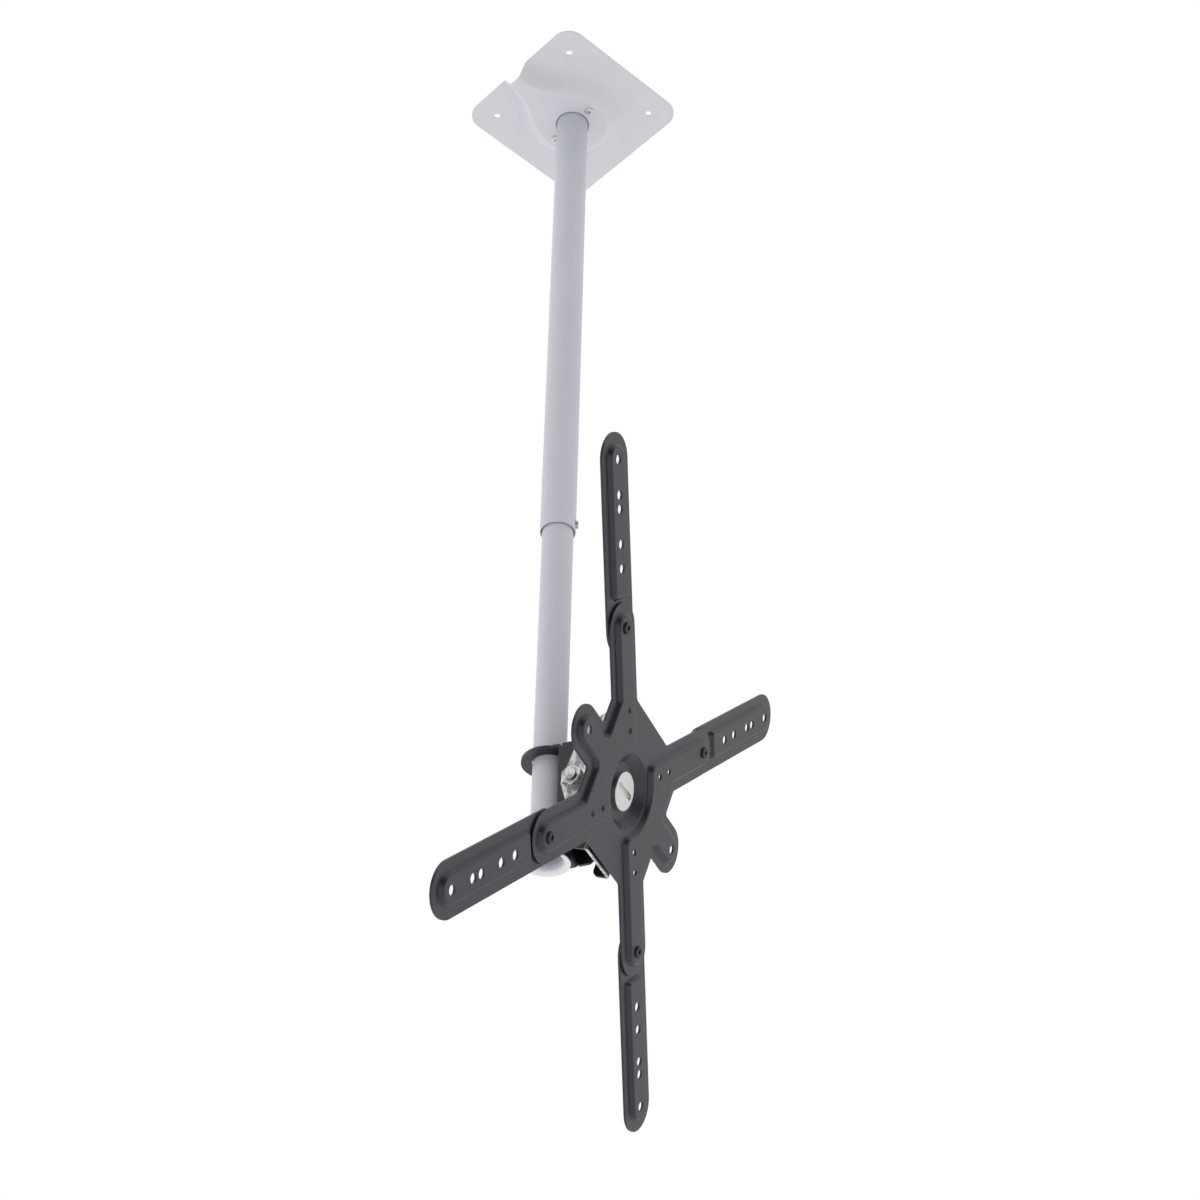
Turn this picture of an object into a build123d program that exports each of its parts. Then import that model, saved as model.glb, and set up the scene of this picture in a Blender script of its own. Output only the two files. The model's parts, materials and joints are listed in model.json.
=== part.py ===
from build123d import *
import os
from math import cos, radians, sin, sqrt, tan

os.makedirs("parts", exist_ok=True)

# Clearances
running_gap = 0.3
fit_gap = 0.1

# Rounding of screw and rivet heads as a share of their height, and depth of their sockets
head_rounding = 0.6
socket_share = 0.7

# Hexagons end in a cone that takes off their corners, starting at a share of their width
corner_share = 0.95
corner_lean = 60.0

# Ceiling plate: a pressed sheet with a dome and a cable channel to its left edge
plate_side = 172.0
plate_corner = 20.0
plate_sheet = 2.0
ceiling_hole_pitch = 120.0
ceiling_hole = 7.0
dome_depth = 17.0
dome_base_radius = 56.0
dome_roof_radius = 38.0
mouth_base_width = 38.0
mouth_roof_width = 13.0
channel_shoulder = 100.0
pole_hole_gap = 1.4
dome_wall_inset = 0.9
steps_down_the_dome = 6
roundness_of_the_dome = 0.45

# Telescopic pole
outer_tube_diameter = 34.2
outer_tube_wall = 1.2
outer_tube_end = 609.0
inner_tube_diameter = 29.8
inner_tube_wall = 1.5
inner_tube_end = 969.0
tube_overlap = 140.0
flare_radius = 6.0
guide_length = 30.0
guide_recess = 5.0
guide_sheet = 0.6
glide_length = 21.0
lock_screw_rise = 10.0
lock_screw_azimuth = -43.0
lock_screw_diameter = 5.0
lock_head_diameter = 8.5
lock_head_height = 2.2
lock_socket_flats = 3.0

# Flange inside the dome, and its two screws
flange_diameter = 66.0
flange_thickness = 4.0
tube_above_flange = 2.0
flange_screw_offset = 27.7
flange_screw_diameter = 5.0
flange_head_diameter = 9.5
flange_head_height = 2.6
cross_recess_length = 4.8
cross_recess_width = 1.1
flange_nut_flats = 8.0
flange_nut_height = 4.0
screw_end = 1.0

# Swivel bracket: a bent strip round the inner tube, and the collar that carries it
swivel_angle = 25.9
ring_diameter = 50.0
strip_thickness = 3.0
strip_bend = 1.5
flange_spacing = 94.0
web_behind = 18.0
collar_height = 4.2

# Tilt joint
tilt_angle = 18.3
tilt_axis_forward = 35.0
tilt_axis_rise = 54.3
tilt_bolt_diameter = 10.0
tilt_bolt_flats = 17.0
tilt_bolt_head = 6.4
tilt_nut_height = 8.0
tilt_washer_diameter = 24.0
tilt_washer_thickness = 1.6
yoke_width = 46.0
yoke_sheet = 3.0
yoke_height = 74.0
yoke_corner = 6.0
yoke_brow = 8.0
yoke_nose_radius = 12.0
rivet_spread = 24.0
rivet_rise = 40.0
rivet_diameter = 5.0
rivet_head_diameter = 9.0
rivet_head_height = 2.2

# Tilt bracket: zinc-plated U-channel behind the screen plate
channel_height = 140.0
channel_sheet = 3.0
channel_bend = 4.0
channel_rest = 5.5
recess_height = 68.0
recess_slope = 6.0
cheek_reach = 52.0
cheek_shoulder_reach = 49.0
cheek_shoulder = 46.0
cheek_waist = 12.0
cheek_foot_reach = 22.0
cheek_foot_rise = 12.0
cheek_corner = 5.0

# Screen plate, measured from the front face of the swinging arms
hub_ahead = 39.5
hub_above = 8.0
screen_sheet = 2.0
hub_rounding = 2.8
arm_rounding = 1.6
arm_emboss = 3.5
hub_emboss = 3.7
wall_lean = 35.0
vesa_large = 200.0
vesa_middle = 100.0
vesa_small = 75.0
hub_arm_width = 43.0
hub_rib_width = 27.0
hub_rib_ring = 37.0
ear_distance = 100.0
ear_width = 42.0
ear_rib_width = 26.0
ear_hole = 8.0
hub_hole = 5.5
body_width = 151.0
notch_fillet = 3.0
rib_notch_fillet = 5.0
middle_width = 80.0
middle_fillet = 6.0
rib_corner = 10.0
dish_radius = 33.0
dish_floor_radius = 25.0
dish_depth = 7.0

# Centre joint of the screen plate
slot_head_diameter = 34.0
slot_head_height = 3.7
slot_head_bevel = 0.9
slot_length = 27.0
slot_width = 5.5
slot_depth = 2.6
slot_turn = 3.0
hub_bolt_diameter = 12.0
hub_washer_diameter = 24.0
hub_washer_thickness = 2.0
hub_nut_flats = 19.0
hub_nut_height = 10.0
bolt_end = 2.0
friction_disc_diameter = 46.0
friction_disc_thickness = 1.0

# Swinging arms and their pivots
arm_width = 45.0
arm_rib_width = 27.0
arm_rib_start = 24.0
arm_rib_corner = 5.0
arm_hole = 8.4
vesa_300 = 300.0
vesa_400 = 400.0
pivot_screw_diameter = 6.0
pivot_head_diameter = 10.5
pivot_head_height = 1.8
pivot_socket_flats = 4.0
pivot_bush_diameter = 10.0
pivot_collar_diameter = 18.0
pivot_washer_diameter = 16.0
pivot_washer_thickness = 1.5
pivot_nut_flats = 10.0
pivot_nut_height = 5.0

# Worked out from the driving dimensions
plate_edge = plate_side / 2
roof_underside = -plate_sheet - dome_depth
roof_top = roof_underside + plate_sheet
flange_top = roof_top + flange_thickness
outer_radius = outer_tube_diameter / 2
outer_bore = outer_radius - outer_tube_wall
inner_radius = inner_tube_diameter / 2
inner_bore = inner_radius - inner_tube_wall
flare_start = -inner_tube_end + flare_radius + inner_tube_wall
flare_centre = inner_radius + flare_radius
inner_top = -outer_tube_end + tube_overlap
seat_radius = flare_radius - running_gap
lower_flange_underside = -flare_start + seat_radius - collar_height
upper_flange_underside = lower_flange_underside - flange_spacing
tilt_axis_depth = lower_flange_underside - tilt_axis_rise
guide_bottom = -outer_tube_end + guide_recess
lock_level = -outer_tube_end + lock_screw_rise
yoke_half = yoke_width / 2
cheek_inner = yoke_half + running_gap
cheek_outer = cheek_inner + channel_sheet
tilt_stack = cheek_outer + tilt_washer_thickness
web_front = -web_behind - strip_thickness
pivot_radius = vesa_large / sqrt(2)
arm_front = -arm_emboss
arm_back = arm_front - screen_sheet
hub_back = arm_front
hub_front = hub_back + screen_sheet
rib_front = hub_front + hub_emboss
rib_back = rib_front - screen_sheet
dish_floor = hub_front - dish_depth
dish_back = dish_floor - screen_sheet
channel_front = dish_back - friction_disc_thickness
channel_back = channel_front - channel_sheet
hub_nut_seat = channel_back - hub_washer_thickness
hub_bolt_tip = hub_nut_seat - hub_nut_height - bolt_end

# The swivel frame has X along the screen's width and faces minus Y
across = Vector(cos(radians(swivel_angle)), sin(radians(swivel_angle)), 0)
swivel = Plane((0, 0, 0), x_dir=across, z_dir=(0, 0, 1))
facing = swivel.y_dir * -cos(radians(tilt_angle)) - swivel.z_dir * sin(radians(tilt_angle))
tilt_centre = swivel.from_local_coords(Vector(0, -tilt_axis_forward, -tilt_axis_depth))
tilt_head = Plane(tilt_centre, x_dir=across, z_dir=facing)
screen = Plane(tilt_head.from_local_coords(Vector(0, hub_above, hub_ahead)), x_dir=across, z_dir=facing)
# The web frame lies on the front of the bracket's web, at the height of the tilt bolt
web_centre = swivel.from_local_coords(Vector(0, web_front, -tilt_axis_depth))
web_face = Plane(web_centre, x_dir=across, z_dir=-swivel.y_dir)
# Side frames look along the tilt bolt: one upright with the swivel, one leaning with the screen
upright_side = Plane(tilt_centre, x_dir=(0, 0, 1), z_dir=across)
leaning_side = Plane(screen.origin, x_dir=screen.y_dir, z_dir=across)


def finish(piece, name):
    piece.part.label = name
    export_step(piece.part, "parts/" + name + ".step")


def turn_corners(seat, flats, height, places=((0, 0),)):
    """Takes the corners off hexagons that stand on a seat."""
    with BuildSketch(seat) as cones:
        with Locations(*places):
            Circle(corner_share * flats / 2 + height * tan(radians(corner_lean)))
    extrude(cones.sketch, amount=height, taper=corner_lean, mode=Mode.INTERSECT)


def funnel(level, radius, half_width, edge):
    """Plan of the dome and its cable channel at one height."""
    turn = radians(channel_shoulder)
    shoulder = (radius * cos(turn), radius * sin(turn))
    along = (sin(turn), -cos(turn))
    with BuildSketch(Plane.XY.offset(level)) as section:
        with BuildLine():
            Line((-edge, -half_width), (-edge, half_width))
            Spline((-edge, half_width), shoulder, tangents=[(1, 0), along])
            CenterArc((0, 0), radius, channel_shoulder, -2 * channel_shoulder)
            mirrored = (shoulder[0], -shoulder[1])
            Spline(mirrored, (-edge, -half_width), tangents=[(-along[0], along[1]), (-1, 0)])
        make_face()
    return section.sketch


def bulge(lift, inset, edge):
    """Sections of the pressed dome and channel, from the flat rim to the roof."""
    sections = []
    for step in range(steps_down_the_dome + 1):
        share = step / steps_down_the_dome
        ease = share + roundness_of_the_dome * (3 * share**2 - 2 * share**3 - share)
        radius = dome_base_radius + (dome_roof_radius - dome_base_radius) * share - inset
        width = mouth_base_width + (mouth_roof_width - mouth_base_width) * share - 2 * inset
        sections.append(funnel(lift - dome_depth * ease, radius, width / 2, edge))
    return sections


# Ceiling plate
screw_places = [(0, flange_screw_offset), (0, -flange_screw_offset)]
outside = bulge(-plate_sheet, 0, plate_edge)
inside = bulge(0, dome_wall_inset, plate_edge + plate_sheet)
with BuildPart() as ceiling_plate:
    with BuildSketch():
        RectangleRounded(plate_side, plate_side, plate_corner)
    extrude(amount=-plate_sheet)
    loft(outside)
    loft(inside, mode=Mode.SUBTRACT)
    with BuildSketch(Plane.XY.offset(roof_underside)):
        Circle(outer_radius + pole_hole_gap)
        with Locations(*screw_places):
            Circle(flange_screw_diameter / 2 + running_gap)
        with GridLocations(ceiling_hole_pitch, ceiling_hole_pitch, 2, 2):
            Circle(ceiling_hole / 2)
    extrude(amount=-roof_underside, mode=Mode.SUBTRACT)
finish(ceiling_plate, "ceiling_plate")

# Flange inside the dome
with BuildPart() as pole_flange:
    with BuildSketch(Plane.XY.offset(roof_top)):
        Circle(flange_diameter / 2)
        Circle(outer_radius + fit_gap, mode=Mode.SUBTRACT)
        with Locations(*screw_places):
            Circle(flange_screw_diameter / 2 + fit_gap, mode=Mode.SUBTRACT)
    extrude(amount=flange_thickness)
finish(pole_flange, "pole_flange")

# Pan-head screws through the dome
with BuildPart() as flange_screws:
    with BuildSketch(Plane.XY.offset(roof_underside)):
        with Locations(*screw_places):
            Circle(flange_head_diameter / 2)
    extrude(amount=-flange_head_height)
    fillet(flange_screws.edges().group_by(Axis.Z)[0], radius=flange_head_height * head_rounding)
    with BuildSketch(Plane.XY.offset(roof_underside)):
        with Locations(*screw_places):
            Circle(flange_screw_diameter / 2)
    extrude(amount=plate_sheet + flange_thickness + flange_nut_height + screw_end)
    with BuildSketch(Plane.XY.offset(roof_underside - flange_head_height)):
        with Locations(*screw_places):
            Rectangle(cross_recess_length, cross_recess_width)
            Rectangle(cross_recess_width, cross_recess_length)
    extrude(amount=flange_head_height * socket_share, mode=Mode.SUBTRACT)
finish(flange_screws, "flange_screws")

# Nuts on the flange
with BuildPart() as flange_nuts:
    with BuildSketch(Plane.XY.offset(flange_top)):
        with Locations(*screw_places):
            RegularPolygon(flange_nut_flats / 2, 6, major_radius=False)
            Circle(flange_screw_diameter / 2 + fit_gap, mode=Mode.SUBTRACT)
    extrude(amount=flange_nut_height)
    turn_corners(Plane.XY.offset(flange_top), flange_nut_flats, flange_nut_height, screw_places)
finish(flange_nuts, "flange_nuts")

# Radial frame of the lock screw on the pole's axis
lock_frame = Plane(
    (0, 0, lock_level),
    x_dir=(0, 0, 1),
    z_dir=(cos(radians(lock_screw_azimuth)), sin(radians(lock_screw_azimuth)), 0),
)

# Outer tube
with BuildPart() as outer_tube:
    with BuildSketch(Plane.XY.offset(-outer_tube_end)):
        Circle(outer_radius)
        Circle(outer_bore, mode=Mode.SUBTRACT)
    extrude(amount=outer_tube_end + flange_top + tube_above_flange)
    chamfer(outer_tube.edges().group_by(Axis.Z)[0], length=outer_tube_wall / 4)
    with BuildSketch(lock_frame):
        Circle(lock_screw_diameter / 2 + fit_gap)
    extrude(amount=outer_tube_diameter, mode=Mode.SUBTRACT)
finish(outer_tube, "outer_tube")

# Plastic guide sleeve in the outer tube's lower end
with BuildPart() as guide_bush:
    with BuildSketch(Plane.XY.offset(guide_bottom)):
        Circle(outer_bore - fit_gap)
        Circle(outer_bore - fit_gap - guide_sheet, mode=Mode.SUBTRACT)
    extrude(amount=guide_length)
    with BuildSketch(lock_frame):
        Circle(lock_screw_diameter / 2 + fit_gap)
    extrude(amount=outer_tube_diameter, mode=Mode.SUBTRACT)
finish(guide_bush, "guide_bush")

# Lock screw
with BuildPart() as lock_screw:
    with BuildSketch(lock_frame.offset(outer_radius + fit_gap)):
        Circle(lock_head_diameter / 2)
    extrude(amount=lock_head_height)
    crown = lock_screw.faces().sort_by(Axis(lock_frame.origin, lock_frame.z_dir))[-1]
    fillet(crown.edges(), radius=lock_head_height * head_rounding)
    with BuildSketch(lock_frame.offset(outer_radius + fit_gap + lock_head_height)):
        RegularPolygon(lock_socket_flats / 2, 6, major_radius=False)
    extrude(amount=-lock_head_height * socket_share, mode=Mode.SUBTRACT)
    with BuildSketch(lock_frame.offset(inner_radius + running_gap)):
        Circle(lock_screw_diameter / 2)
    extrude(amount=outer_radius + fit_gap - inner_radius - running_gap)
finish(lock_screw, "lock_screw")

# Inner tube with a flared mouth
with BuildPart() as inner_tube:
    with BuildSketch(Plane.XZ):
        with BuildLine():
            Polyline((inner_bore, flare_start), (inner_bore, inner_top), (inner_radius, inner_top))
            Line((inner_radius, inner_top), (inner_radius, flare_start))
            RadiusArc((inner_radius, flare_start), (flare_centre, flare_start - flare_radius), -flare_radius)
            Line((flare_centre, flare_start - flare_radius), (flare_centre, -inner_tube_end))
            bell_radius = flare_radius + inner_tube_wall
            RadiusArc((flare_centre, -inner_tube_end), (inner_bore, flare_start), bell_radius)
        make_face()
    revolve(axis=Axis.Z)
finish(inner_tube, "inner_tube")

# Plastic glide on the inner tube's top
with BuildPart() as top_glide:
    with BuildSketch(Plane.XY.offset(inner_top)):
        Circle(outer_bore - running_gap)
        Circle(inner_radius + fit_gap, mode=Mode.SUBTRACT)
    extrude(amount=-glide_length)
finish(top_glide, "top_glide")

# Swivel bracket
with BuildPart() as swivel_bracket:
    for underside in (upper_flange_underside, lower_flange_underside):
        with BuildSketch(swivel.offset(-underside)):
            Circle(ring_diameter / 2)
            Rectangle(yoke_width, -web_front, align=(Align.CENTER, Align.MAX))
            with Locations((0, web_front)):
                Rectangle(ring_diameter, ring_diameter, align=(Align.CENTER, Align.MAX), mode=Mode.SUBTRACT)
        extrude(amount=strip_thickness)
    with BuildSketch(swivel.offset(-lower_flange_underside)):
        with Locations((0, web_front)):
            Rectangle(yoke_width, strip_thickness, align=(Align.CENTER, Align.MIN))
    extrude(amount=lower_flange_underside - upper_flange_underside + strip_thickness)
    bends = swivel_bracket.edges().filter_by(Axis((0, 0, 0), across)).group_by(Axis((0, 0, 0), swivel.y_dir))
    fillet(bends[0], radius=strip_bend + strip_thickness)
    fillet(bends[-1], radius=strip_bend)
    with BuildSketch(swivel.offset(-lower_flange_underside)):
        Circle(inner_radius + 2 * running_gap)
    extrude(amount=lower_flange_underside, mode=Mode.SUBTRACT)
    with BuildSketch(web_face):
        with GridLocations(rivet_spread, rivet_rise, 2, 2):
            Circle(rivet_diameter / 2 + fit_gap)
    extrude(amount=-strip_thickness, mode=Mode.SUBTRACT)
finish(swivel_bracket, "swivel_bracket")

# Plastic collar between the lower flange and the tube's flare
collar_top = -lower_flange_underside
collar_foot = flare_start - seat_radius
collar_bore = flare_centre - sqrt(seat_radius**2 - (flare_start - collar_top) ** 2)
with BuildPart() as swivel_collar:
    with BuildSketch(Plane.XZ):
        with BuildLine():
            Polyline((collar_bore, collar_top), (flare_centre, collar_top), (flare_centre, collar_foot))
            RadiusArc((flare_centre, collar_foot), (collar_bore, collar_top), seat_radius)
        make_face()
    revolve(axis=Axis.Z)
finish(swivel_collar, "swivel_collar")

# Tilt yoke on the web: a base plate, and two ears as high as the bracket
ear_root = tilt_axis_forward + web_front
ear_foot = -tilt_axis_rise
ear_top = ear_foot + flange_spacing + strip_thickness
with BuildPart() as tilt_yoke:
    with BuildSketch(web_face):
        Rectangle(yoke_width, yoke_height)
    extrude(amount=yoke_sheet)
    for side in (upright_side.offset(-yoke_half), upright_side.offset(yoke_half - yoke_sheet)):
        with BuildSketch(side):
            Circle(yoke_nose_radius)
            with Locations((ear_foot + yoke_corner, -yoke_corner)):
                Circle(yoke_corner)
            with Locations((ear_top - yoke_corner, yoke_brow - yoke_corner)):
                Circle(yoke_corner)
            with Locations((ear_foot, -ear_root)):
                Rectangle(ear_top - ear_foot, yoke_sheet, align=Align.MIN)
            make_hull()
        extrude(amount=yoke_sheet)
    with BuildSketch(upright_side.offset(-yoke_half)):
        Circle(tilt_bolt_diameter / 2 + fit_gap)
    extrude(amount=yoke_width, mode=Mode.SUBTRACT)
    with BuildSketch(web_face):
        with GridLocations(rivet_spread, rivet_rise, 2, 2):
            Circle(rivet_diameter / 2 + fit_gap)
    extrude(amount=yoke_sheet, mode=Mode.SUBTRACT)
finish(tilt_yoke, "tilt_yoke")

# Rivets through the web and the yoke
with BuildPart() as yoke_rivets:
    for seat, rise in ((yoke_sheet, rivet_head_height), (-strip_thickness, -rivet_head_height)):
        with BuildSketch(web_face.offset(seat)):
            with GridLocations(rivet_spread, rivet_rise, 2, 2):
                Circle(rivet_head_diameter / 2)
        extrude(amount=rise)
    ends = Axis(web_face.origin, web_face.z_dir)
    rims = yoke_rivets.edges().group_by(ends)
    fillet(rims[0] + rims[-1], radius=rivet_head_height * head_rounding)
    with BuildSketch(web_face.offset(-strip_thickness)):
        with GridLocations(rivet_spread, rivet_rise, 2, 2):
            Circle(rivet_diameter / 2)
    extrude(amount=strip_thickness + yoke_sheet)
finish(yoke_rivets, "yoke_rivets")

# Tilt bolt, its washers and its nut
with BuildPart() as tilt_bolt:
    bolt_seat = upright_side.offset(tilt_stack)
    with BuildSketch(bolt_seat):
        RegularPolygon(tilt_bolt_flats / 2, 6, major_radius=False)
    extrude(amount=tilt_bolt_head)
    turn_corners(bolt_seat, tilt_bolt_flats, tilt_bolt_head)
    with BuildSketch(upright_side.offset(-tilt_stack - tilt_nut_height - bolt_end)):
        Circle(tilt_bolt_diameter / 2)
    extrude(amount=2 * tilt_stack + tilt_nut_height + bolt_end)
finish(tilt_bolt, "tilt_bolt")

with BuildPart() as tilt_washers:
    for face in (-tilt_stack, cheek_outer):
        with BuildSketch(upright_side.offset(face)):
            Circle(tilt_washer_diameter / 2)
            Circle(tilt_bolt_diameter / 2 + fit_gap, mode=Mode.SUBTRACT)
        extrude(amount=tilt_washer_thickness)
finish(tilt_washers, "tilt_washers")

with BuildPart() as tilt_nut:
    nut_seat = -upright_side.offset(-tilt_stack)
    with BuildSketch(nut_seat):
        RegularPolygon(tilt_bolt_flats / 2, 6, major_radius=False)
        Circle(tilt_bolt_diameter / 2 + fit_gap, mode=Mode.SUBTRACT)
    extrude(amount=tilt_nut_height)
    turn_corners(nut_seat, tilt_bolt_flats, tilt_nut_height)
finish(tilt_nut, "tilt_nut")

# Tilt bracket: a base that steps back behind the dish, and a cheek on each side of the yoke
half_height = channel_height / 2
half_recess = recess_height / 2
base_front = [
    (-half_height, -channel_rest),
    (-half_recess - recess_slope, -channel_rest),
    (-half_recess, channel_front),
    (half_recess, channel_front),
    (half_recess + recess_slope, -channel_rest),
    (half_height, -channel_rest),
]
base_back = [(v, n - channel_sheet) for v, n in reversed(base_front)]
cheek_back = [
    (half_height, -cheek_foot_reach),
    (cheek_shoulder, -cheek_shoulder_reach),
    (0, -cheek_reach),
    (-cheek_waist, -cheek_reach),
    (-half_height + cheek_foot_rise, -cheek_foot_reach),
    (-half_height, -cheek_foot_reach),
]
with BuildPart() as tilt_bracket:
    with BuildSketch(leaning_side.offset(-cheek_outer)):
        with BuildLine():
            Polyline(*base_front, *base_back, close=True)
        make_face()
    extrude(amount=2 * cheek_outer)
    for side in (leaning_side.offset(-cheek_outer), leaning_side.offset(cheek_inner)):
        with BuildSketch(side) as cheek:
            with BuildLine():
                Polyline(*base_front, *cheek_back, close=True)
            make_face()
            rear = [cheek.vertices().sort_by_distance(point)[0] for point in cheek_back]
            fillet(rear, radius=cheek_corner)
        extrude(amount=channel_sheet)
    with BuildSketch(screen.offset(channel_back)):
        Circle(hub_bolt_diameter / 2 + fit_gap)
    extrude(amount=channel_sheet, mode=Mode.SUBTRACT)
    with BuildSketch(upright_side.offset(-cheek_outer)):
        Circle(tilt_bolt_diameter / 2 + running_gap)
    extrude(amount=2 * cheek_outer, mode=Mode.SUBTRACT)
    upright_edges = tilt_bracket.edges().filter_by(Axis(screen.origin, screen.y_dir))
    folds = upright_edges.group_by(Axis(screen.origin, facing))[-1]
    fillet(folds, radius=channel_bend)
finish(tilt_bracket, "tilt_bracket")

# Centre joint
with BuildPart() as friction_disc:
    with BuildSketch(screen.offset(channel_front)):
        Circle(friction_disc_diameter / 2)
        Circle(hub_bolt_diameter / 2 + fit_gap, mode=Mode.SUBTRACT)
    extrude(amount=friction_disc_thickness)
finish(friction_disc, "friction_disc")

with BuildPart() as hub_bolt:
    with BuildSketch(screen.offset(dish_floor)):
        Circle(slot_head_diameter / 2)
    extrude(amount=slot_head_height)
    crown = hub_bolt.edges().group_by(Axis(screen.origin, facing))[-1]
    fillet(crown, radius=slot_head_bevel)
    with BuildSketch(screen.offset(dish_floor + slot_head_height)):
        SlotOverall(slot_length, slot_width, rotation=slot_turn)
    extrude(amount=-slot_depth, mode=Mode.SUBTRACT)
    with BuildSketch(screen.offset(hub_bolt_tip)):
        Circle(hub_bolt_diameter / 2)
    extrude(amount=dish_floor - hub_bolt_tip)
finish(hub_bolt, "hub_bolt")

with BuildPart() as hub_washer:
    with BuildSketch(screen.offset(channel_back)):
        Circle(hub_washer_diameter / 2)
        Circle(hub_bolt_diameter / 2 + fit_gap, mode=Mode.SUBTRACT)
    extrude(amount=-hub_washer_thickness)
finish(hub_washer, "hub_washer")

with BuildPart() as hub_nut:
    nut_seat = -screen.offset(hub_nut_seat)
    with BuildSketch(nut_seat):
        RegularPolygon(hub_nut_flats / 2, 6, major_radius=False)
        Circle(hub_bolt_diameter / 2 + fit_gap, mode=Mode.SUBTRACT)
    extrude(amount=hub_nut_height)
    turn_corners(nut_seat, hub_nut_flats, hub_nut_height)
finish(hub_nut, "hub_nut")


def star(plan, arm_breadth, ear_breadth, body_breadth, notch):
    """Draws the screen plate's four arms and two ears, with squared notches between them."""
    body_u = body_breadth / 2
    ear_v = ear_breadth / 2
    arm_v = body_u - arm_breadth / sqrt(2)
    with PolarLocations(pivot_radius / 2, 4, 45):
        SlotCenterToCenter(pivot_radius, arm_breadth)
    with PolarLocations(ear_distance / 2, 2):
        SlotCenterToCenter(ear_distance, ear_breadth)
    inside_arm = arm_v + arm_breadth / 4
    for u in (-body_u, body_u):
        Polygon((0, 0), (u, -inside_arm), (u, inside_arm), align=None)
    corners = [(u, v) for u in (-body_u, body_u) for v in (-arm_v, -ear_v, ear_v, arm_v)]
    fillet([plan.vertices().sort_by_distance(corner)[0] for corner in corners], radius=notch)


def ribs(plan, inset):
    """Draws the two raised areas: arms and ears, less a round field at the centre."""
    arm_breadth = hub_rib_width - 2 * inset
    margin = (hub_arm_width - hub_rib_width) / 2
    body_breadth = body_width - 2 * margin - 2 * inset
    star(plan, arm_breadth, ear_rib_width - 2 * inset, body_breadth, rib_notch_fillet + inset)
    ring = hub_rib_ring + inset
    Circle(ring, mode=Mode.SUBTRACT)
    rise = arm_breadth / sqrt(2)
    corner_u = (sqrt(2 * ring**2 - rise**2) - rise) / 2
    corners = [(u, v) for u in (-corner_u, corner_u) for v in (-corner_u - rise, corner_u + rise)]
    fillet([plan.vertices().sort_by_distance(corner)[0] for corner in corners], radius=rib_corner - inset)


# Screen plate
wall_run = screen_sheet * (1 - sin(radians(wall_lean))) / cos(radians(wall_lean))
through = Axis(screen.origin, facing)
vesa_radii = [pitch / sqrt(2) for pitch in (vesa_small, vesa_middle)]
half_u = middle_width / 2
half_v = half_u + hub_arm_width / sqrt(2) - screen_sheet
with BuildPart() as hub_plate:
    with BuildSketch(screen.offset(hub_back)) as plan:
        star(plan, hub_arm_width, ear_width, body_width, notch_fillet)
        Rectangle(2 * half_u, 2 * half_v)
        corner_u = half_u - screen_sheet
        corners = [(u, v) for u in (-corner_u, corner_u) for v in (-half_v, half_v)]
        fillet([plan.vertices().sort_by_distance(corner)[0] for corner in corners], radius=middle_fillet)
    extrude(amount=screen_sheet)
    with BuildSketch(screen.offset(hub_front)) as plan:
        ribs(plan, 0)
    extrude(amount=hub_emboss, taper=wall_lean)
    rib_rims = hub_plate.faces().group_by(through)[-1].edges()
    fillet(rib_rims, radius=hub_rounding)
    with BuildSketch(screen.offset(hub_back)) as plan:
        ribs(plan, wall_run)
    extrude(amount=hub_emboss, taper=wall_lean, mode=Mode.SUBTRACT)
    with BuildSketch(screen.offset(hub_back)):
        Circle(dish_radius + wall_run)
    with BuildSketch(screen.offset(dish_back)):
        Circle(dish_floor_radius + wall_run)
    loft()
    with BuildSketch(screen.offset(hub_front)):
        Circle(dish_radius)
    with BuildSketch(screen.offset(dish_floor)):
        Circle(dish_floor_radius)
    loft(mode=Mode.SUBTRACT)
    with BuildSketch(screen.offset(dish_back)):
        Circle(hub_bolt_diameter / 2 + running_gap)
        for radius in vesa_radii:
            with PolarLocations(radius, 4, 45):
                Circle(hub_hole / 2)
        with PolarLocations(ear_distance, 2):
            Circle(ear_hole / 2)
        with PolarLocations(pivot_radius, 4, 45):
            Circle(pivot_screw_diameter / 2 + fit_gap)
    extrude(amount=rib_front - dish_back, mode=Mode.SUBTRACT)
finish(hub_plate, "hub_plate")

# Arm pivots: screw, bush, washer and nut at each arm end
half_large = vesa_large / 2
pivot_places = [(u, v) for u in (-half_large, half_large) for v in (-half_large, half_large)]
with BuildPart() as pivot_screws:
    with BuildSketch(screen.offset(rib_front)):
        with Locations(*pivot_places):
            Circle(pivot_head_diameter / 2)
    extrude(amount=pivot_head_height)
    crowns = pivot_screws.edges().group_by(through)[-1]
    fillet(crowns, radius=pivot_head_height * head_rounding)
    with BuildSketch(screen.offset(rib_front + pivot_head_height)):
        with Locations(*pivot_places):
            RegularPolygon(pivot_socket_flats / 2, 6, major_radius=False)
    extrude(amount=-pivot_head_height * socket_share, mode=Mode.SUBTRACT)
    pivot_nut_seat = arm_back - running_gap - pivot_washer_thickness
    pivot_tip = pivot_nut_seat - pivot_nut_height - screw_end
    with BuildSketch(screen.offset(pivot_tip)):
        with Locations(*pivot_places):
            Circle(pivot_screw_diameter / 2)
    extrude(amount=rib_front - pivot_tip)
finish(pivot_screws, "pivot_screws")

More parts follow.
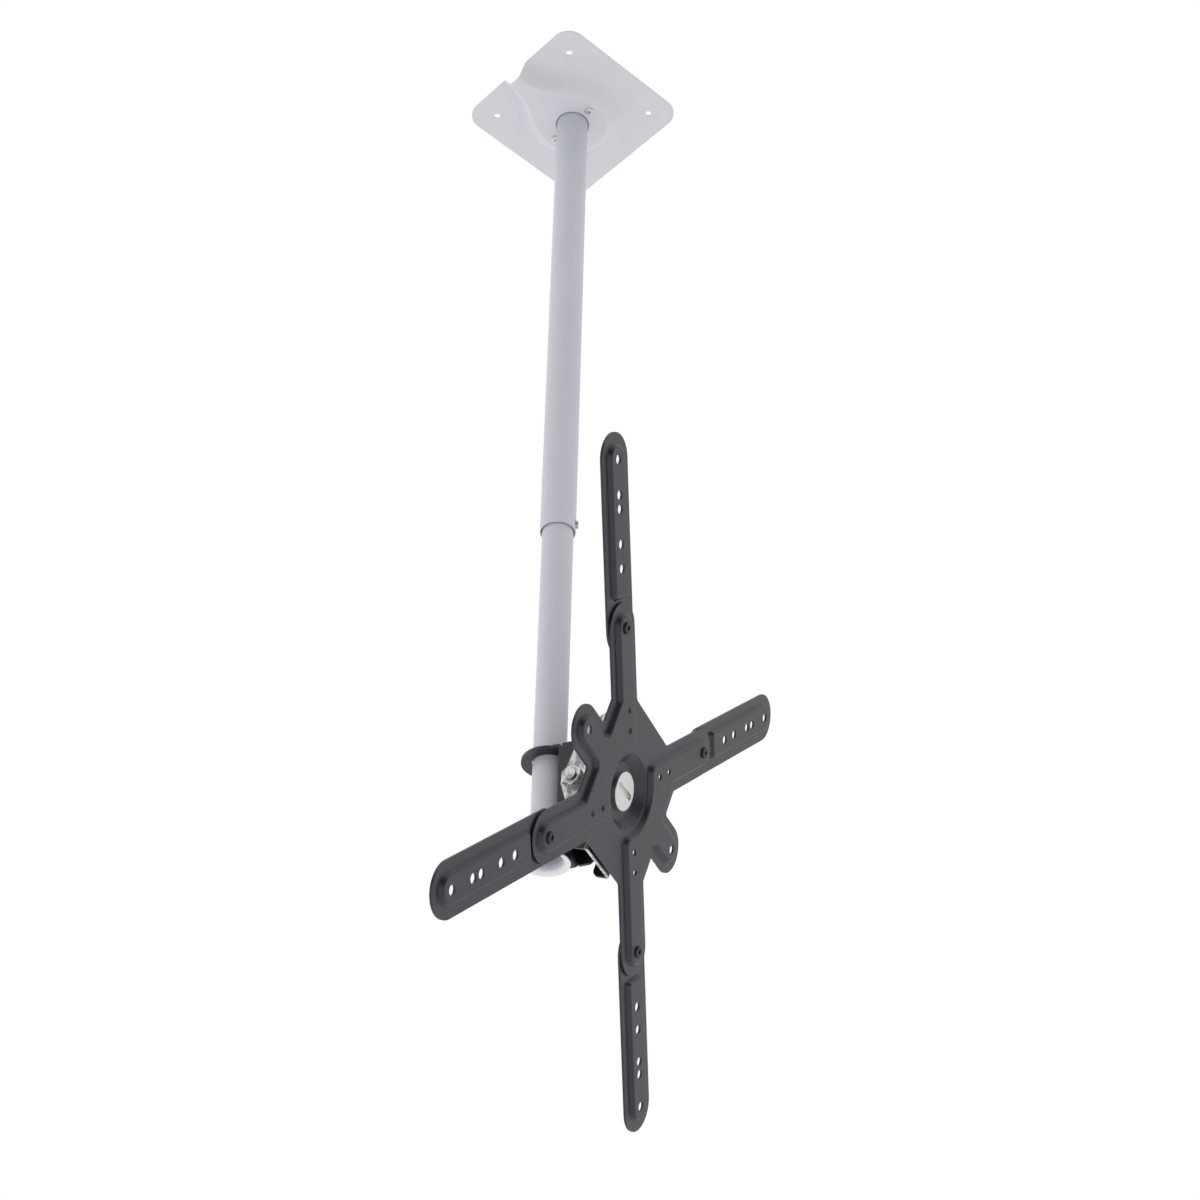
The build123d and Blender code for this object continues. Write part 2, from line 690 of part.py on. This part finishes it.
with BuildPart() as pivot_bushes:
    with BuildSketch(screen.offset(arm_front)):
        with Locations(*pivot_places):
            Circle(pivot_collar_diameter / 2)
    extrude(amount=rib_back - arm_front)
    with BuildSketch(screen.offset(arm_back - running_gap)):
        with Locations(*pivot_places):
            Circle(pivot_bush_diameter / 2)
    extrude(amount=screen_sheet + running_gap)
    with BuildSketch(screen.offset(arm_back - running_gap)):
        with Locations(*pivot_places):
            Circle(pivot_screw_diameter / 2 + fit_gap)
    extrude(amount=rib_back - arm_back + running_gap, mode=Mode.SUBTRACT)
finish(pivot_bushes, "pivot_bushes")

with BuildPart() as pivot_washers:
    with BuildSketch(screen.offset(arm_back - running_gap)):
        with Locations(*pivot_places):
            Circle(pivot_washer_diameter / 2)
            Circle(pivot_screw_diameter / 2 + fit_gap, mode=Mode.SUBTRACT)
    extrude(amount=-pivot_washer_thickness)
finish(pivot_washers, "pivot_washers")

with BuildPart() as pivot_nuts:
    nut_seat = -screen.offset(pivot_nut_seat)
    with BuildSketch(nut_seat):
        with Locations(*pivot_places):
            RegularPolygon(pivot_nut_flats / 2, 6, major_radius=False)
            Circle(pivot_screw_diameter / 2 + fit_gap, mode=Mode.SUBTRACT)
    extrude(amount=pivot_nut_height)
    turn_corners(nut_seat, pivot_nut_flats, pivot_nut_height, pivot_places)
finish(pivot_nuts, "pivot_nuts")

# Swinging arms, each drawn along its own radius from its pivot
reach_300 = (vesa_300 - vesa_large) / 2
reach_400 = (vesa_400 - vesa_large) / 2
arm_reach = reach_400 * sqrt(2)
slant_reach = sqrt(reach_300**2 + reach_400**2)
hole_reaches = [reach_300, reach_300 * sqrt(2), reach_400, slant_reach, arm_reach]


def arm_rib(plan, inset):
    """Draws an arm's raised area: square at the pivot end, round at the tip."""
    start = arm_rib_start + inset
    breadth = arm_rib_width - 2 * inset
    with Locations((start, 0)):
        Rectangle(arm_reach - start, breadth, align=(Align.MIN, Align.CENTER))
    with Locations((arm_reach, 0)):
        Circle(breadth / 2)
    fillet(plan.vertices().group_by(Axis.X)[0], radius=arm_rib_corner - inset)


arm_names = {45: "arm_upper_right", 135: "arm_upper_left", 225: "arm_lower_left", 315: "arm_lower_right"}
for angle, arm_name in arm_names.items():
    turn = radians(angle)
    along = screen.x_dir * cos(turn) + screen.y_dir * sin(turn)
    arm = Plane(screen.origin + along * pivot_radius, x_dir=along, z_dir=facing)
    with BuildPart() as swing_arm:
        with BuildSketch(arm.offset(arm_back)):
            with Locations((arm_reach / 2, 0)):
                SlotCenterToCenter(arm_reach, arm_width)
        extrude(amount=screen_sheet)
        with BuildSketch(arm.offset(arm_front)) as plan:
            arm_rib(plan, 0)
        extrude(amount=arm_emboss, taper=wall_lean)
        rim = swing_arm.faces().sort_by(through)[-1].edges()
        fillet(rim, radius=arm_rounding)
        with BuildSketch(arm.offset(arm_back)) as plan:
            arm_rib(plan, wall_run)
        extrude(amount=arm_emboss, taper=wall_lean, mode=Mode.SUBTRACT)
        with BuildSketch(arm.offset(arm_back)):
            Circle(pivot_bush_diameter / 2 + running_gap)
            for reach in hole_reaches:
                with Locations((reach, 0)):
                    Circle(arm_hole / 2)
        extrude(amount=-arm_back, mode=Mode.SUBTRACT)
    finish(swing_arm, arm_name)
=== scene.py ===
import json
from math import pi, radians

import bmesh
import bpy
from mathutils import Euler, Matrix, Vector


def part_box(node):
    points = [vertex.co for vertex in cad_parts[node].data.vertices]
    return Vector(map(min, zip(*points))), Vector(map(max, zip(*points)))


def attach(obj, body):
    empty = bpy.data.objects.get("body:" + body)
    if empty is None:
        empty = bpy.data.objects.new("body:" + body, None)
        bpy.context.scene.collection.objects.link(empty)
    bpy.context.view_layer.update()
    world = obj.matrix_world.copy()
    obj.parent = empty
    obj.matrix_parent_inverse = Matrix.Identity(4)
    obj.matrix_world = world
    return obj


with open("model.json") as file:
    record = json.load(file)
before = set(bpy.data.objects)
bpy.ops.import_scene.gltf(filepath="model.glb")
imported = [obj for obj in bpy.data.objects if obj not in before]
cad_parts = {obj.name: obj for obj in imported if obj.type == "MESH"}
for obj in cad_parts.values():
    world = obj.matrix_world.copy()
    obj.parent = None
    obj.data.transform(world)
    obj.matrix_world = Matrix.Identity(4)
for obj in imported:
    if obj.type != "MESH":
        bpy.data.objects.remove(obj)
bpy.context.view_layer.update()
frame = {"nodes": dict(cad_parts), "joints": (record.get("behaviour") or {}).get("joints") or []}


# Ceiling plate
# A square of steel sheet, pressed cold into a dome with an open channel for the cables.
# It has a satin light grey powder coat, and four screws hold it up against the ceiling.
class Wire:
    """A value in a finish's nodes, so that sums on it read as plain Python."""

    def __init__(self, socket):
        self.socket = socket

    def sum(self, operation, left, right):
        tree = self.socket.id_data
        return node(tree, "ShaderNodeMath", {"operation": operation}, {0: left, 1: right})

    def __add__(self, other):
        return self.sum("ADD", self, other)

    __radd__ = __add__

    def __sub__(self, other):
        return self.sum("SUBTRACT", self, other)

    def __rsub__(self, other):
        return self.sum("SUBTRACT", other, self)

    def __mul__(self, other):
        return self.sum("MULTIPLY", self, other)

    __rmul__ = __mul__


def node(tree, kind, settings, inputs, output=0):
    """Adds one node with its settings, then the values or wires of its sockets."""
    made = tree.nodes.new(kind)
    for name, value in settings.items():
        setattr(made, name, value)
    for name, value in inputs.items():
        if isinstance(value, Wire):
            tree.links.new(value.socket, made.inputs[name])
        else:
            made.inputs[name].default_value = value
    return Wire(made.outputs[output]) if made.outputs else made


def new_finish(name):
    """An empty material, its tree and the piece's own coordinates."""
    material = bpy.data.materials.new(name)
    material.use_nodes = True
    tree = material.node_tree
    tree.nodes.clear()
    place = node(tree, "ShaderNodeTexCoord", {}, {}, "Object")
    return material, tree, place


def noise(tree, place, scale, detail=2.0):
    sockets = {"Vector": place, "Scale": scale, "Detail": detail}
    return node(tree, "ShaderNodeTexNoise", {}, sockets, "Fac")


def blend_colours(tree, share, first, second):
    sockets = {0: share, 6: first, 7: second}
    for place in (6, 7):
        if not isinstance(sockets[place], Wire):
            sockets[place] = (*sockets[place], 1)
    return node(tree, "ShaderNodeMix", {"data_type": "RGBA"}, sockets, 2)


def ramp(tree, value, start, end):
    """Goes smoothly from none to all between two values."""
    sockets = {"Value": value, "From Min": start, "From Max": end}
    return node(tree, "ShaderNodeMapRange", {"interpolation_type": "SMOOTHSTEP"}, sockets)


def part_of(tree, vector, axis):
    return node(tree, "ShaderNodeSeparateXYZ", {}, {"Vector": vector}, axis)


def relief(tree, height, depth, edge_radius):
    """Normals of a surface with this relief, whose sharp edges are slightly broken."""
    edge = node(tree, "ShaderNodeBevel", {"samples": 6}, {"Radius": edge_radius})
    sockets = {"Strength": 0.3, "Distance": depth, "Height": height, "Normal": edge}
    return node(tree, "ShaderNodeBump", {}, sockets)


def surface(tree, **inputs):
    """Ends a finish in one Principled shader."""
    sockets = {name.replace("_", " "): value for name, value in inputs.items()}
    shader = node(tree, "ShaderNodeBsdfPrincipled", {}, sockets)
    node(tree, "ShaderNodeOutputMaterial", {}, {"Surface": shader})


def powder_coat(
    name, dark, light, gloss, shine=0.5, tint=(1, 1, 1), painted_light_patch=None, painted_light_colour=None
):
    """Baked paint powder: orange peel, slow changes of tone and gloss, and a patch of painted shade
    or painted highlight in another tone.
    """
    peel_depth = 0.0001
    edge_radius = 0.0006
    material, tree, place = new_finish(name)
    grain = noise(tree, place, 2600.0, 3.0)
    peel = noise(tree, place, 620.0)
    cloud = noise(tree, place, 28.0, 3.0)
    colour = blend_colours(tree, 0.6 * cloud + 0.4 * grain, dark, light)
    # The optional patch paints light or shade into the base colour.
    if painted_light_patch:
        colour = blend_colours(tree, painted_light_patch(tree, place), colour, painted_light_colour)
    surface(
        tree,
        Base_Color=colour,
        Roughness=gloss + 0.16 * (grain - 0.5) + 0.12 * (cloud - 0.5),
        Normal=relief(tree, 0.55 * grain + 0.45 * peel, peel_depth, edge_radius),
        Specular_IOR_Level=shine,
        Specular_Tint=(*tint, 1),
    )
    return material


def dress(material, *names):
    """Gives CAD nodes a finish in place of their plain one."""
    for name in names:
        piece = frame["nodes"][name]
        piece.data.materials.clear()
        piece.data.materials.append(material)


def painted_hollow_shade(tree, place):
    """The side of the pressing that faces the ceiling, inside the hollow: painted shade, as if a
    ceiling shadowed it.
    """
    normal = node(tree, "ShaderNodeNewGeometry", {}, {}, "Normal")
    faces_up = ramp(tree, part_of(tree, normal, "Z"), 0.02, 0.2)
    below_rim = ramp(tree, part_of(tree, place, "Z"), -0.001, -0.003)
    return faces_up * below_rim


# The inside of the dome and channel is painted near black: painted shade where the ceiling side lies
# in shadow.
pale_coat = powder_coat(
    "pale_grey_coat",
    dark=(0.67, 0.68, 0.73),
    light=(0.77, 0.78, 0.83),
    gloss=0.5,
    painted_light_patch=painted_hollow_shade,
    painted_light_colour=(0.13, 0.13, 0.14),
)
dress(pale_coat, "ceiling_plate")

# Pole flange
# A round steel blank that lies on the inside of the dome, with the same coat as the tubes.
# A fillet weld with the ripples of its single pass joins it to the end of the outer tube.
def new_piece(name, shape, material):
    """Turns a shape into an object with one finish."""
    mesh = bpy.data.meshes.new(name)
    shape.to_mesh(mesh)
    shape.free()
    mesh.materials.append(material)
    piece = bpy.data.objects.new(name, mesh)
    bpy.context.scene.collection.objects.link(piece)
    return piece


pole_grey = {"dark": (0.55, 0.56, 0.615), "light": (0.64, 0.65, 0.705), "gloss": 0.46}
pole_coat = powder_coat("pole_grey_coat", **pole_grey)
dress(pole_coat, "pole_flange")

tube_radius = 0.0171
flange_seat, flange_top = (corner[2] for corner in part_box("pole_flange"))
weld_leg = 0.002
weld_overlap = 0.0001
weld_rounding = 0.0006
weld_steps = 96
weld_profile = [
    (tube_radius - weld_overlap, -weld_overlap),
    (tube_radius + weld_leg, -weld_overlap),
    (tube_radius - weld_overlap, weld_leg),
]
shape = bmesh.new()
corners = [shape.verts.new((radius, 0, flange_top + rise)) for radius, rise in weld_profile]
sides = [shape.edges.new((corners[turn], corners[turn - 1])) for turn in range(3)]
bmesh.ops.bevel(
    shape,
    geom=[sides[2]] + corners[1:],
    offset=weld_rounding,
    segments=2,
    profile=0.5,
    affect="VERTICES",
    material=-1,
)
bmesh.ops.spin(
    shape,
    geom=shape.verts[:] + shape.edges[:],
    cent=(0, 0, 0),
    axis=(0, 0, 1),
    angle=2 * pi,
    steps=weld_steps,
    use_merge=True,
)
bmesh.ops.recalc_face_normals(shape, faces=shape.faces)
weld_finish, tree, place = new_finish("weld_under_coat")
ripple = noise(tree, place, 900.0, 1.0)
surface(
    tree,
    Base_Color=blend_colours(tree, ripple, (0.48, 0.49, 0.535), (0.63, 0.64, 0.69)),
    Roughness=0.42 + 0.2 * ripple,
    Normal=relief(tree, ripple, 0.0006, 0.0003),
)
pole_weld = new_piece("pole_weld", shape, weld_finish)
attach(pole_weld, "ceiling")


# Flange screws and nuts
# Two pan-head screws from below, each with a nut on top of the flange, clamp it to the dome.
# They are cold-headed steel with rolled threads and a bright zinc plate, painted paler than the other
# fasteners' zinc as a painted highlight.
def zinc_plate(
    name, dull, bright, origin=(0, 0, 0), turn=(0, 0, 0), pitch=None, streak=1.0, painted=None
):
    """Bright zinc: cloudy crystals and streaks, a thread behind the origin, paint on some of it."""
    thread_share = 8.0
    paint_colour = (0.008, 0.008, 0.009)
    paint_gloss = 0.42
    material, tree, place = new_finish(name)
    lie = {"Vector": place, "Location": origin, "Rotation": turn, "Scale": (1, streak, 1)}
    local = node(tree, "ShaderNodeMapping", {"vector_type": "TEXTURE"}, lie)
    cloud = noise(tree, local, 210.0, 4.0)
    crystal = node(tree, "ShaderNodeTexVoronoi", {}, {"Vector": local, "Scale": 1400.0}, "Distance")
    blotch = ramp(tree, cloud, 0.36, 0.64)
    colour = blend_colours(tree, 0.75 * blotch + 0.25 * crystal, dull, bright)
    height = 0.5 * crystal + 0.5 * cloud
    roughness = 0.34 - 0.14 * blotch + 0.08 * crystal
    bare = 1.0
    if pitch:
        depth = part_of(tree, local, "Z")
        bands = {"wave_type": "BANDS", "bands_direction": "Z"}
        lead = {"Vector": local, "Scale": pi / 10 / pitch}
        groove = node(tree, "ShaderNodeTexWave", bands, lead, "Fac")
        behind = node(tree, "ShaderNodeMath", {"operation": "LESS_THAN"}, {0: depth, 1: 0.0})
        height = height + thread_share * groove * behind
    if painted:
        bare = 1 - painted(tree, local)
        colour = blend_colours(tree, bare, paint_colour, colour)
        roughness = paint_gloss + bare * (roughness - paint_gloss)
    surface(
        tree,
        Base_Color=colour,
        Metallic=bare,
        Roughness=roughness,
        Normal=relief(tree, height, 0.00012, 0.0003),
    )
    return material


dull_zinc = (0.36, 0.36, 0.355)
bright_zinc = (0.80, 0.80, 0.79)
lit_pale_zinc = (0.66, 0.66, 0.655)
# The flange screws take the paler zinc: painted highlight for the light their heads catch.
flange_zinc = zinc_plate(
    "flange_screw_zinc", lit_pale_zinc, bright_zinc, (0, 0, flange_seat), (pi, 0, 0), pitch=0.0008
)
dress(flange_zinc, "flange_screws")
small_zinc = zinc_plate("fastener_zinc", dull_zinc, bright_zinc)
dress(small_zinc, "flange_nuts")

# Outer tube
# The upper half of the telescopic pole, a drawn steel tube with a chamfered lower rim.
# It hangs from the flange through the hole in the dome, and has the pole's grey coat.
dress(pole_coat, "outer_tube")


# Guide bush
# A thin sleeve of black nylon, pushed into the outer tube's lower end.
# It keeps the inner tube from rattling and takes the wear when the height is set.
def moulded_plastic(name, dark, light, gloss):
    """Moulded plastic: a fine spark-eroded grain with cloudy gloss."""
    material, tree, place = new_finish(name)
    grain = noise(tree, place, 3400.0)
    cloud = noise(tree, place, 60.0, 3.0)
    surface(
        tree,
        Base_Color=blend_colours(tree, 0.5 * grain + 0.5 * cloud, dark, light),
        Roughness=gloss + 0.2 * (grain - 0.5) + 0.14 * (cloud - 0.5),
        Normal=relief(tree, grain, 0.00008, 0.0003),
    )
    return material


black_nylon = moulded_plastic("black_nylon", (0.012, 0.012, 0.013), (0.026, 0.026, 0.028), 0.5)
dress(black_nylon, "guide_bush")

# Lock screw
# A small button-head screw with a hexagon socket near the outer tube's rim.
# It goes through the tube and the bush, and its end presses on the inner tube.
dress(small_zinc, "lock_screw")

# Inner tube
# The lower half of the pole, a drawn steel tube whose lower end is flared outwards.
# The cables come out of the flare, and the swivel's collar rests on it.
flare_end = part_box("inner_tube")[0][2]


def painted_lip_highlight(tree, place):
    """The rim of the flare, painted near white as a highlight where it catches the light."""
    return ramp(tree, part_of(tree, place, "Z"), flare_end + 0.004, flare_end + 0.001)


# The flare's rim is painted near white: a painted highlight.
highlighted_tube_coat = powder_coat("flare_coat_painted_highlight", **pole_grey, painted_light_patch=painted_lip_highlight, painted_light_colour=(0.9, 0.9, 0.91))
dress(highlighted_tube_coat, "inner_tube")

# Top glide
# A ring of grey nylon round the inner tube's upper end, inside the outer tube.
# It centres the tube and stops it from being pulled out.
grey_nylon = moulded_plastic("grey_nylon", (0.18, 0.18, 0.19), (0.27, 0.27, 0.28), 0.52)
dress(grey_nylon, "top_glide")

# Swivel bracket
# A steel strip bent into a C, with a ring at each end round the inner tube.
# It has a satin black powder coat and turns on the collar above the flare.
black_coat = powder_coat(
    "black_coat",
    dark=(0.005, 0.005, 0.007),
    light=(0.009, 0.009, 0.012),
    gloss=0.38,
    shine=0.8,
    tint=(0.86, 0.89, 1.0),
)
dress(black_coat, "swivel_bracket")

# Swivel collar
# A ring of black nylon that carries the lower end of the bracket on the flare.
# Its foot is hollowed to the curve of the flare.
dress(black_nylon, "swivel_collar")


# Tilt yoke and its rivets
# A black coated steel channel with two ears, which hold the tilt bolt in front of the web.
# Four black steel rivets clamp its base to the web.
def black_oxide(name):
    """Blackened steel: a thin dark film with worn, lighter clouds."""
    material, tree, place = new_finish(name)
    cloud = noise(tree, place, 420.0, 4.0)
    grain = noise(tree, place, 3000.0)
    surface(
        tree,
        Base_Color=blend_colours(tree, cloud, (0.02, 0.02, 0.021), (0.075, 0.075, 0.078)),
        Metallic=0.8,
        Roughness=0.36 + 0.16 * cloud,
        Normal=relief(tree, grain, 0.00006, 0.0003),
    )
    return material


dress(black_coat, "tilt_yoke")
black_steel = black_oxide("blackened_steel")
dress(black_steel, "yoke_rivets")


# Tilt bolt, its washers and its nut
# A hexagon bolt through the yoke and both cheeks, the axle that the screen tilts on.
# Its nut sets the friction, and all of it is bright zinc-plated steel.
def joint_place(name):
    return next(joint["pos_m"] for joint in frame["joints"] if joint["name"] == name)


swivel_turn = radians(25.9)
along_bolt = Matrix.Rotation(swivel_turn, 3, "Z") @ Matrix.Rotation(radians(90), 3, "Y")
tilt_zinc = zinc_plate(
    "tilt_bolt_zinc", dull_zinc, bright_zinc, joint_place("tilt"), along_bolt.to_euler(), pitch=0.0015
)
dress(tilt_zinc, "tilt_bolt")
dress(small_zinc, "tilt_washers", "tilt_nut")


# Tilt bracket
# A heavy sheet folded into a channel, with a cheek on each side of the yoke.
# It is zinc-plated after bending, and the channel's sides are painted black up to the cheeks.
def channel_sides(tree, local):
    """The outsides of the channel between its base and the cheeks."""
    across = node(tree, "ShaderNodeMath", {"operation": "ABSOLUTE"}, {0: part_of(tree, local, "X")})
    depth = part_of(tree, local, "Z")
    on_a_side = ramp(tree, across, 0.0205, 0.0215)
    behind_base = ramp(tree, depth, -0.0086, -0.009)
    before_cheek = ramp(tree, depth, -0.0225, -0.0215)
    return on_a_side * behind_base * before_cheek


screen_tilt = 18.3
screen_turn = (radians(90 + screen_tilt), 0, swivel_turn)
hub_place = joint_place("roll")
sheet_zinc = zinc_plate(
    "sheet_zinc",
    (0.30, 0.30, 0.295),
    (0.78, 0.78, 0.77),
    hub_place,
    screen_turn,
    streak=3.0,
    painted=channel_sides,
)
dress(sheet_zinc, "tilt_bracket")

# Centre joint of the screen plate
# A large bolt with a slotted, flat-turned head in the dish, its washer and nut behind the bracket.
# A friction disc of black nylon lets the screen plate turn on it and stay where it is put.
dress(black_nylon, "friction_disc")
turned_zinc, tree, place = new_finish("turned_zinc")
lie = {"Vector": place, "Location": hub_place, "Rotation": screen_turn}
local = node(tree, "ShaderNodeMapping", {"vector_type": "TEXTURE"}, lie)
rings = {"wave_type": "RINGS", "rings_direction": "Z"}
marks = {"Vector": local, "Scale": 520.0, "Distortion": 0.6}
turning = node(tree, "ShaderNodeTexWave", rings, marks, "Fac")
cloud = noise(tree, local, 160.0, 3.0)
tone = 0.7 * cloud + 0.3 * turning
surface(
    tree,
    Base_Color=blend_colours(tree, tone, (0.62, 0.62, 0.61), (0.86, 0.86, 0.85)),
    Metallic=1.0,
    Roughness=0.3 + 0.12 * cloud,
    Normal=relief(tree, turning, 0.00004, 0.0004),
)
dress(turned_zinc, "hub_bolt")
dress(small_zinc, "hub_washer", "hub_nut")

# Screen plate
# A steel pressing with four arms and two ears, ribbed round their edges, and a dish for the bolt.
# It has the satin black powder coat, and holes for the smaller screens.
dress(black_coat, "hub_plate")

# Arm pivots
# A low button-head screw, a nylon bush, a washer and a nut at the end of each arm.
# The steel is blackened, and the bush lets the swinging arm turn without play.
dress(black_steel, "pivot_screws", "pivot_washers", "pivot_nuts")
dress(black_nylon, "pivot_bushes")

# Swinging arms
# Four pressed steel arms with a raised flat and five holes each, for the larger screens.
# They are black powder coated and clamped behind the ends of the screen plate's arms.
dress(black_coat, "arm_upper_left", "arm_upper_right", "arm_lower_left", "arm_lower_right")

# Room
# A plain pale floor far below the mount, and soft white light from all round.
# The side the camera stands on is dim, as in a studio with the lamps behind the object.
floor_level = -2.4
floor_width = 14.0
shape = bmesh.new()
down = Matrix.Translation((0, 0, floor_level))
bmesh.ops.create_grid(shape, x_segments=1, y_segments=1, size=floor_width / 2, matrix=down)
floor_paint, tree, place = new_finish("floor_paint")
wash = noise(tree, place, 1.5, 3.0)
floor_colour = blend_colours(tree, wash, (0.84, 0.84, 0.84), (0.88, 0.88, 0.88))
surface(tree, Base_Color=floor_colour, Roughness=0.8)
floor = new_piece("floor", shape, floor_paint)

scene = bpy.context.scene
scene.view_settings.view_transform = "Standard"
world = bpy.data.worlds.new("studio")
scene.world = world
world.use_nodes = True
tree = world.node_tree
tree.nodes.clear()
rays = tree.nodes.new("ShaderNodeLightPath")
camera_ray, glossy_ray, transmission_ray = (
    Wire(rays.outputs[kind]) for kind in ("Is Camera Ray", "Is Glossy Ray", "Is Transmission Ray")
)
seen = node(tree, "ShaderNodeMath", {"operation": "MAXIMUM"}, {0: camera_ray, 1: transmission_ray})
direction = node(tree, "ShaderNodeTexCoord", {}, {}, "Generated")
towards_camera = (-0.5352, -0.5853, -0.6091)
towards_left = (-0.738, 0.675, 0.0)
facing_back, facing_left = (
    node(tree, "ShaderNodeVectorMath", {"operation": "DOT_PRODUCT"}, {0: direction, 1: side}, "Value")
    for side in (towards_camera, towards_left)
)
far_light = 1.05
near_light = 0.45
soft_light = far_light + (near_light - far_light) * ramp(tree, facing_back, -0.1, 0.8)
far_gloss = 1.0
near_gloss = 0.03
backdrop = far_gloss + (near_gloss - far_gloss) * ramp(tree, facing_back, 0.0, 0.55)
left_gain = 0.15
level = (glossy_ray * backdrop + (1 - glossy_ray) * soft_light) * (1 + left_gain * facing_left)
strength = seen + (1 - seen) * level
shade = node(tree, "ShaderNodeBackground", {}, {"Color": (1, 1, 1, 1), "Strength": strength})
node(tree, "ShaderNodeOutputWorld", {}, {"Surface": shade})

# Camera
# It stands below and to the left of the screen plate and looks up at the ceiling plate.
camera_place = Vector((-0.9986, -1.1530, -1.8592))
camera_azimuth = radians(-42.44)
camera_elevation = radians(-37.53)
camera_roll = radians(1.1)
lens = bpy.data.cameras.new("camera")
lens.sensor_width = 36.0
lens.lens = 62.52
lens.clip_end = 50.0
camera = bpy.data.objects.new("camera", lens)
scene.collection.objects.link(camera)
level_look = Euler((radians(90) - camera_elevation, 0, camera_azimuth)).to_matrix()
look = level_look @ Matrix.Rotation(camera_roll, 3, "Z")
camera.matrix_world = Matrix.Translation(camera_place) @ look.to_4x4()
scene.camera = camera
